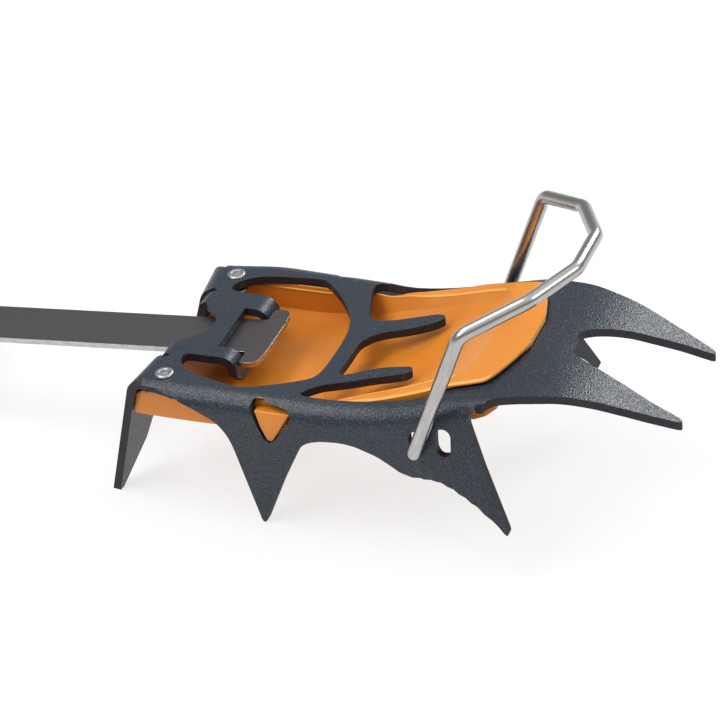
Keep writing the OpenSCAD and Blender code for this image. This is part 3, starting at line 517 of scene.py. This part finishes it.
def turnedMesh(profile, centre, steps=48):
    bm = bmesh.new()
    middle = Vector(centre) * mm
    verts = [bm.verts.new(middle + Vector((r * mm, 0, z * mm))) for r, z in profile]
    edges = [bm.edges.new(pair) for pair in zip(verts, verts[1:])]
    bmesh.ops.spin(bm, geom=verts + edges, cent=middle, axis=(0, 0, 1), angle=math.tau, steps=steps,
                   use_merge=True)
    bmesh.ops.remove_doubles(bm, verts=bm.verts, dist=0.002 * mm)
    return bm


def joined(meshes):
    total = bmesh.new()
    for bm in meshes:
        part = bpy.data.meshes.new("part")
        bm.to_mesh(part)
        bm.free()
        total.from_mesh(part)
        bpy.data.meshes.remove(part)
    return total


def rivetProfile(setup, top, bottom):
    r, h, s = setup["head"] / 2, setup["height"], setup["shank"] / 2
    foot, base = s + setup["foot"], bottom - setup["footHeight"]
    # a flat head with a shallow ring pressed in by the riveting tool, as shares of its radius and height
    head = [(0, 0.8), (0.3, 0.82), (0.38, 0.66), (0.46, 0.66), (0.54, 0.9), (0.64, 1), (0.8, 0.94),
            (0.92, 0.66), (1, 0.3), (1, 0)]
    shank = [(s, top - 0.01), (s, bottom), (foot, bottom)]
    upset = [(foot, base + setup["footBevel"]), (foot - setup["footBevel"], base), (0, base)]
    return [(a * r, top + b * h) for a, b in head] + shank + upset


def makeRivets(setup):
    profile = rivetProfile(rivetShape, setup["top"], setup["bottom"])
    pair = [turnedMesh(profile, (setup["x"], side * setup["y"], 0)) for side in (1, -1)]
    closedPiece(setup["name"], joined(pair), ["rivet"], setup["body"], setup["node"], "zinc_steel")


for setup in rivetPairs:
    makeRivets(setup)
print("rivets made")


# Pieces that keep their solid's shape, with rounded edges

for name, node, body, look, slot, width, segments in [
        ("frontWashers", "front_washers", "front_section", "zinc", "zinc_steel", 0.15, 2),
        ("heelWashers", "heel_washers", "heel_section", "zinc", "zinc_steel", 0.15, 2),
        ("heelTray", "heel_shell", "heel_section", "shell", "orange_shell", 0.4, 3),
        ("lockPin", "lock_pin", "size_lock", "zinc", "zinc_steel", 0.3, 3),
        ("lockAxle", "lock_axle", "heel_section", "zinc", "zinc_steel", 0.2, 3),
        ("wireBlock", "wire_block", "screw_block", "zinc", "zinc_steel", 0.5, 3),
        ("leverBody", "lever_body", "heel_lever", "black", "black_plastic", 0.7, 3),
        ("leverPad", "lever_pad", "heel_lever", "pad", "soft_pad", 0.6, 3),
        ("thumbWheel", "thumb_wheel", "wheel", "zinc", "zinc_steel", 0.25, 3),
        ("screwClip", "screw_clip", "screw_block", "lock", "zinc_steel", 0.2, 3)]:
    roundedCopy(name, node, body, look, slot, width, segments)


# The adjusting screw with its thread, and grip ribs moulded on the back of the lever

adjustScrew = {
    "pitch": 1.0, "depth": 0.55, "stepsPerTurn": 24, "runIn": 1.2, "crest": 0.18, "sunk": 0.1, "inset": 0.04,
    "endBevel": 0.4, "endDrop": 0.3, "softness": 0.06,
}
leverRibs = {"count": 6, "spacing": 3.4, "height": 0.7, "width": 1.5, "length": 16, "belowTop": 16,
             "wall": 3, "softness": 0.55}


def inMillimetres(box):
    return [Vector(corner) / mm for corner in box]


def makeScrew(setup):
    low, high = inMillimetres(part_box("adjust_screw"))
    centre = ((low.x + high.x) / 2, (low.y + high.y) / 2, 0)
    radius = (high.x - low.x) / 2
    root = radius - setup["depth"]
    end, bevel = root - setup["endDrop"], setup["endBevel"]
    core = turnedMesh([(0, high.z), (end, high.z), (root, high.z - bevel), (root, low.z + bevel),
                       (end, low.z), (0, low.z)], centre, 36)
    thread = bmesh.new()
    start = low.z + setup["runIn"]
    turns = int((high.z - setup["runIn"] - start) / setup["pitch"])
    inner, outer = root - setup["sunk"], radius - setup["inset"]
    half, crest = 0.46 * setup["pitch"], setup["crest"] / 2
    ridge = [(inner, start - half), (outer, start - crest), (outer, start + crest), (inner, start + half)]
    middle = Vector(centre) * mm
    profile = thread.faces.new([thread.verts.new(middle + Vector((r * mm, 0, z * mm))) for r, z in ridge])
    rise = setup["pitch"] / setup["stepsPerTurn"] * mm
    bmesh.ops.spin(thread, geom=[profile], cent=middle, axis=(0, 0, 1), angle=math.tau * turns,
                   dvec=(0, 0, rise), steps=turns * setup["stepsPerTurn"])
    bmesh.ops.recalc_face_normals(thread, faces=thread.faces)
    piece = closedPiece("adjustScrew", joined([core, thread]), ["zinc"], "screw_block", "adjust_screw",
                        "zinc_steel")
    roundEdges(piece, setup["softness"], 1, -1, 50)


def makeRibs(setup):
    back = inMillimetres(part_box("lever_pad"))[0].x - setup["wall"]
    top = inMillimetres(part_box("lever_body"))[1].z - setup["belowTop"]
    size = Vector((2 * setup["height"], setup["length"], setup["width"])) * mm
    ribs = []
    for i in range(setup["count"]):
        rib = bmesh.new()
        bmesh.ops.create_cube(rib, size=1.0)
        bmesh.ops.scale(rib, verts=rib.verts, vec=size)
        softened(rib, rib.edges[:], setup["softness"] * mm)
        bmesh.ops.translate(rib, verts=rib.verts, vec=Vector((back, 0, top - i * setup["spacing"])) * mm)
        ribs.append(rib)
    closedPiece("leverRibs", joined(ribs), ["black"], "heel_lever", None, "black_plastic")


makeScrew(adjustScrew)
makeRibs(leverRibs)
print("heel pieces made")


# Moulded shell of the front section

frontShell = {
    "wall": 1.8, "edge": 0.35, "lengthSteps": 132,
    # the shell leans to the left where it comes up through the frame's window
    "sway": 1.7, "swayFrom": 30, "swayTo": 58,
    # its rear end leans back beside the rear spikes
    "lean": 0.28, "leanBelow": -5, "leanTo": 8, "leanOver": 13,
    # the strips with the lighter orange of the painted highlight, counted from the rim: its bevel, and the
    # bead round the basin
    "bevelStrip": 3, "beadStrip": 7, "beadTo": 103,
    # place, half width, rim height, inner edge of the margin (y, z), foot of the wall (y, z),
    # edge of the floor (y, z), dish of the floor, depth of the turned down lip
    "rows": [
        (-8.6, 34.9, -7.0, 33.6, -7.0, 34.4, -13.8, 31, -15.2, 1.6, 0.9),
        (-5.2, 35.2, -3.9, 33.9, -3.9, 34.6, -13.9, 31, -15.3, 1.6, 0.9),
        (-3.2, 35.2, -3.3, 33.9, -3.3, 34.6, -13.9, 31, -15.3, 1.6, 0.9),
        (8, 35.2, -3.3, 33.9, -3.3, 34.6, -14.0, 31, -15.3, 1.6, 0.9),
        (20, 35.2, -3.3, 33.9, -3.3, 34.5, -13.9, 31, -15.1, 1.6, 0.9),
        (30, 35.2, -3.3, 33.9, -3.3, 34.2, -13.7, 30.6, -14.8, 1.5, 0.9),
        (44, 35, -3.3, 33.7, -3.3, 33.6, -12.6, 29, -14, 1.5, 0.9),
        (52, 34.9, -3.4, 33.2, -3.5, 31, -10.4, 26, -12.4, 1.4, 0.9),
        (58, 34.4, -3.4, 32.4, -3.5, 29.4, -8, 24, -10.4, 1.3, 0.9),
        (65, 34.3, -1.2, 31.3, -1.5, 28.4, -5.4, 23, -8.2, 1.3, 1.5),
        (71, 34, 0.3, 30, 0, 27.2, -3.4, 22, -6.2, 1.2, 1.9),
        (78, 33.9, 2.1, 28.9, 1.8, 26.2, -1, 21, -3.8, 1.1, 2.4),
        (86, 33.4, 4.5, 28, 4.2, 25.4, 2, 20.5, -0.6, 0.9, 2.8),
        (93, 33, 6.95, 27.2, 6.6, 24.8, 4.8, 20, 3, 0.7, 3.0),
        (98, 32.2, 8.6, 26.6, 8.3, 24.6, 6.6, 20, 5.3, 0.4, 2.8),
        (103, 31.4, 10.1, 25.8, 9.85, 23.6, 8.7, 17, 8.2, 0.15, 1.4),
        (106.5, 31, 11, 23.4, 10.85, 21, 10.3, 14, 10.1, 0.05, 1.2),
        (108.5, 30.8, 11.5, 17, 11.4, 14, 11.35, 10, 11.3, 0, 1.2),
        (111, 30.5, 12.1, 16, 12.05, 13, 12.02, 9, 12, 0, 1.2),
        (116.4, 28.5, 13.35, 15, 13.3, 12, 13.3, 8, 13.3, 0, 1.2),
        (121, 18.1, 13.95, 12, 13.95, 9, 13.95, 6, 13.95, 0, 1.1),
        (123, 10.9, 14.2, 8, 14.2, 6, 14.2, 4, 14.2, 0, 1.1),
        (123.5, 9, 14.25, 7, 14.25, 5, 14.25, 3, 14.25, 0, 1.1)],
}
# where a section has its points, as shares of the floor, of each cove, of the wall and of the margin;
# the rest is in millimetres
shellForm = {
    "floor": (0.2, 0.4, 0.6, 0.78), "cove": (0.3, 0.6, 1), "wall": (0.7, 0.9, 0.97),
    "margin": [(0.3, 0.3), (0.4, 0.42)], "beadAcross": 0.14, "beadUp": 0.1, "bead": 0.35, "beadWall": 1.5,
    "bevel": 0.9, "roundOver": 0.08, "roundDown": 0.6,
}


def between(rows, x):
    # Catmull-Rom between the rows of numbers
    last = len(rows) - 1
    i = max(0, min(last - 1, next((k for k in range(last) if rows[k + 1][0] >= x), last - 1)))
    a, b, c, d = rows[max(i - 1, 0)], rows[i], rows[i + 1], rows[min(i + 2, last)]
    span = c[0] - b[0]
    t = (x - b[0]) / span
    out = []
    for k in range(1, len(b)):
        leaving = (c[k] - a[k]) / (c[0] - a[0]) * span
        arriving = (d[k] - b[k]) / (d[0] - b[0]) * span
        out.append((2 * t ** 3 - 3 * t ** 2 + 1) * b[k] + (t ** 3 - 2 * t ** 2 + t) * leaving
                   + (-2 * t ** 3 + 3 * t ** 2) * c[k] + (t ** 3 - t ** 2) * arriving)
    return out


def cove(start, corner, end, steps):
    # a hollow curve that leaves start and reaches end with the corner between them
    return [tuple((1 - t) ** 2 * a + 2 * t * (1 - t) * b + t * t * c for a, b, c in zip(start, corner, end))
            for t in steps]


def shellSection(row, form):
    half, rim, ledgeY, ledgeZ, footY, footZ, floorY, floorZ, dish, lip = row
    points = [(floorY * share, floorZ - dish * (1 - share * share)) for share in (0, *form["floor"])]
    points += cove(points[-1], (floorY, floorZ), (footY, footZ), form["cove"])
    halfway = ((footY + ledgeY) / 2, (footZ + ledgeZ) / 2)
    points += cove(points[-1], (footY, footZ), halfway, form["cove"])
    points += [(footY + (ledgeY - footY) * share, footZ + (ledgeZ - footZ) * share) for share in form["wall"]]
    # the bead dies away where the wall runs out
    bead = form["bead"] * min(1, max(0, (ledgeZ - footZ) / form["beadWall"]))
    margin, rise = half - ledgeY, rim - ledgeZ
    points += [(ledgeY, ledgeZ + 0.5 * bead)]
    points += [(ledgeY + form["beadAcross"] * margin, ledgeZ + form["beadUp"] * rise + bead)]
    points += [(ledgeY + across * margin, ledgeZ + up * rise) for across, up in form["margin"]]
    points += [(half - min(form["bevel"], 0.5 * margin), rim)]
    return points + [(half - form["roundOver"], rim - form["roundDown"]), (half, rim - lip)]


def swayAt(setup, x):
    t = min(1, max(0, (x - setup["swayFrom"]) / (setup["swayTo"] - setup["swayFrom"])))
    return setup["sway"] * t * t * (3 - 2 * t)


def shellPoint(setup, form, x, column):
    y, z = shellSection(between(setup["rows"], x), form)[abs(column)]
    lean = setup["lean"] * min(1, max(0, (setup["leanTo"] - x) / setup["leanOver"]))
    back = lean * min(0, z - setup["leanBelow"])
    return Vector((x + back, swayAt(setup, x) + math.copysign(y, column), z)) * mm


def makeFrontShell(setup, form):
    first, last = setup["rows"][0][0], setup["rows"][-1][0]
    side = len(shellSection(setup["rows"][0][1:], form))
    strips = 2 * (side - 1)
    bm = bmesh.new()
    bmesh.ops.create_grid(bm, x_segments=setup["lengthSteps"], y_segments=strips, size=0.5)
    place = bm.verts.layers.int.new("column")
    for vert in bm.verts:
        column = round((vert.co.y + 0.5) * strips) - strips // 2
        vert[place] = abs(column)
        vert.co = shellPoint(setup, form, first + (last - first) * (vert.co.x + 0.5), column)
    bmesh.ops.recalc_face_normals(bm, faces=bm.faces)
    if sum(face.normal.z for face in bm.faces) < 0:
        bmesh.ops.reverse_faces(bm, faces=bm.faces)
    # the bevel strip and the bead strip take the painted highlight
    for face in bm.faces:
        strip = side - min(vert[place] for vert in face.verts)
        onBead = strip == setup["beadStrip"] and face.calc_center_median().x < setup["beadTo"] * mm
        face.material_index = 1 if strip == setup["bevelStrip"] or onBead else 0
    looks = ["shell", "shellHighlight"]
    piece = placePiece("frontShell", bm, looks, "front_section", "front_shell", "orange_shell")
    wall = piece.modifiers.new("wall", "SOLIDIFY")
    wall.thickness = setup["wall"] * mm
    wall.offset = -1
    # the rim of the wall takes the lighter orange too, a painted highlight
    wall.material_offset_rim = 1
    roundEdges(piece, setup["edge"], 3, -1, 50)


makeFrontShell(frontShell, shellForm)


# Lugs of the shell that fill the three cornered holes of the side webs, the bases that the lugs stand on,
# and fingers that grip under the sheet in front

shellGrips = [
    # above the crease the lug's outer face leans in, as the bend of the sheet does
    {"outline": [(35.7, -4.3), (48.7, -4.3), (41.6, -15.6), (39.9, -15.0)], "out": 40.7, "in": 35.6,
     "softness": 0.5, "crease": -10.0, "lean": 1.3},
    {"outline": [(31.2, -8.8), (46.9, -9.2), (38.4, -22.0)], "out": 37.4, "in": 35.1, "softness": 1.3},
    {"outline": [(92.5, 4.4), (93, 1.0), (100, -0.6), (106, -1.8), (111.3, -1.9), (115.6, 0.2), (119.8, 4.0),
                 (120.6, 7.6), (112, 6.3), (104, 4.5), (98.4, 3.1), (96.5, 5.2)],
     "out": 31.0, "in": 25.0, "softness": 0.55},
]


def leanAboveCrease(bm, setup):
    whole = bm.verts[:] + bm.edges[:] + bm.faces[:]
    bmesh.ops.bisect_plane(bm, geom=whole, plane_co=(0, 0, setup["crease"] * mm), plane_no=(0, 0, 1))
    hair = 0.1 * mm
    lowest, outermost = setup["crease"] * mm + hair, hair - setup["out"] * mm
    above = [vert for vert in bm.verts if vert.co.z > lowest and vert.co.y < outermost]
    bmesh.ops.translate(bm, verts=above, vec=(0, setup["lean"] * mm, 0))


def gripMesh(setup):
    bm = bmesh.new()
    corners = [bm.verts.new(Vector((x, -setup["in"], z)) * mm) for x, z in setup["outline"]]
    grown = bmesh.ops.extrude_face_region(bm, geom=[bm.faces.new(corners)])["geom"]
    moved = [item for item in grown if isinstance(item, bmesh.types.BMVert)]
    bmesh.ops.translate(bm, verts=moved, vec=(0, (setup["in"] - setup["out"]) * mm, 0))
    if "crease" in setup:
        leanAboveCrease(bm, setup)
    softened(bm, bm.edges[:], setup["softness"] * mm)
    bmesh.ops.mirror(bm, geom=bm.verts[:] + bm.edges[:] + bm.faces[:], axis="Y", merge_dist=0)
    return bm


grips = joined([gripMesh(setup) for setup in shellGrips])
closedPiece("shellGrips", grips, ["shell"], "front_section", None, "orange_shell")
print("front shell made")


# Pale floor and soft light

# brightness of the room from straight below to straight above
roomLight = [(0.0, 0.5), (0.5, 0.62), (0.56, 0.5), (0.62, 0.26), (0.74, 0.3), (0.86, 0.8), (1.0, 0.92)]
roomTint = (1, 1.01, 1.03)
lamps = [
    {"name": "topLight", "place": (-0.3, -0.1, 0.95), "target": (0.05, 0, 0), "size": 0.5, "power": 3.6},
    {"name": "sideLight", "place": (-0.4, -0.6, 0.8), "target": (0.05, 0, 0), "size": 0.5, "power": 3.0},
    {"name": "backLight", "place": (0.33, 0.8, 0.63), "target": (0.13, 0, 0), "size": 0.42, "power": 5.4},
    {"name": "rightLight", "place": (0.85, 0.02, 0.72), "target": (0.09, 0, 0), "size": 0.34, "power": 2.2},
]
# the floor lies a hair under the lowest spike
floorSetup = {"halfSide": 9.0, "height": -0.0501, "grey": 0.9, "rough": 0.9, "plainShare": 0.75}


def surroundings(stops, tint):
    world = bpy.data.worlds.new("studio")
    bpy.context.scene.world = world
    world.use_nodes = True
    tree = world.node_tree
    place = tree.nodes.new("ShaderNodeTexCoord")
    parts = tree.nodes.new("ShaderNodeSeparateXYZ")
    tree.links.new(place.outputs["Generated"], parts.inputs[0])
    height = tree.nodes.new("ShaderNodeMapRange")
    height.inputs["From Min"].default_value = -1
    tree.links.new(parts.outputs["Z"], height.inputs["Value"])
    sky = ramp(tree, height.outputs["Result"], [(at, [value * t for t in tint]) for at, value in stops])
    tree.links.new(sky, tree.nodes["Background"].inputs["Color"])


def softLight(setup):
    data = bpy.data.lights.new(setup["name"], "AREA")
    data.shape = "DISK"
    data.size = setup["size"]
    data.energy = setup["power"]
    light = addObject(setup["name"], data)
    light.location = setup["place"]
    onward = Vector(setup["target"]) - Vector(setup["place"])
    light.rotation_euler = onward.to_track_quat("-Z", "Y").to_euler()


def combined(tree, operation, first, second):
    node = tree.nodes.new("ShaderNodeMath")
    node.operation = operation
    for socket, value in zip(node.inputs, (first, second)):
        if isinstance(value, float):
            socket.default_value = value
        else:
            tree.links.new(value, socket)
    return node.outputs["Value"]


def paleFloor(setup):
    # to the eye and in polished metal the floor is mostly plain white, and it still takes the shadow
    material, tree, shader = newMaterial("pale_floor", grey(setup["grey"]), setup["rough"])
    path = tree.nodes.new("ShaderNodeLightPath")
    white = tree.nodes.new("ShaderNodeEmission")
    seen = path.outputs["Is Camera Ray"]
    for ray in ("Is Glossy Ray", "Is Transmission Ray"):
        seen = combined(tree, "MAXIMUM", seen, path.outputs[ray])
    blend = tree.nodes.new("ShaderNodeMixShader")
    tree.links.new(combined(tree, "MULTIPLY", seen, setup["plainShare"]), blend.inputs[0])
    tree.links.new(shader.outputs["BSDF"], blend.inputs[1])
    tree.links.new(white.outputs["Emission"], blend.inputs[2])
    tree.links.new(blend.outputs["Shader"], tree.nodes["Material Output"].inputs["Surface"])
    return material


def makeFloor(setup):
    bm = bmesh.new()
    place = Matrix.Translation((0, 0, setup["height"]))
    bmesh.ops.create_grid(bm, x_segments=1, y_segments=1, size=setup["halfSide"], matrix=place)
    mesh = bpy.data.meshes.new("floor")
    bm.to_mesh(mesh)
    bm.free()
    mesh.materials.append(paleFloor(setup))
    return addObject("floor", mesh)


surroundings(roomLight, roomTint)
for setup in lamps:
    softLight(setup)
bpy.context.scene.view_settings.view_transform = "Standard"
floor = makeFloor(floorSetup)
print("light and floor set")
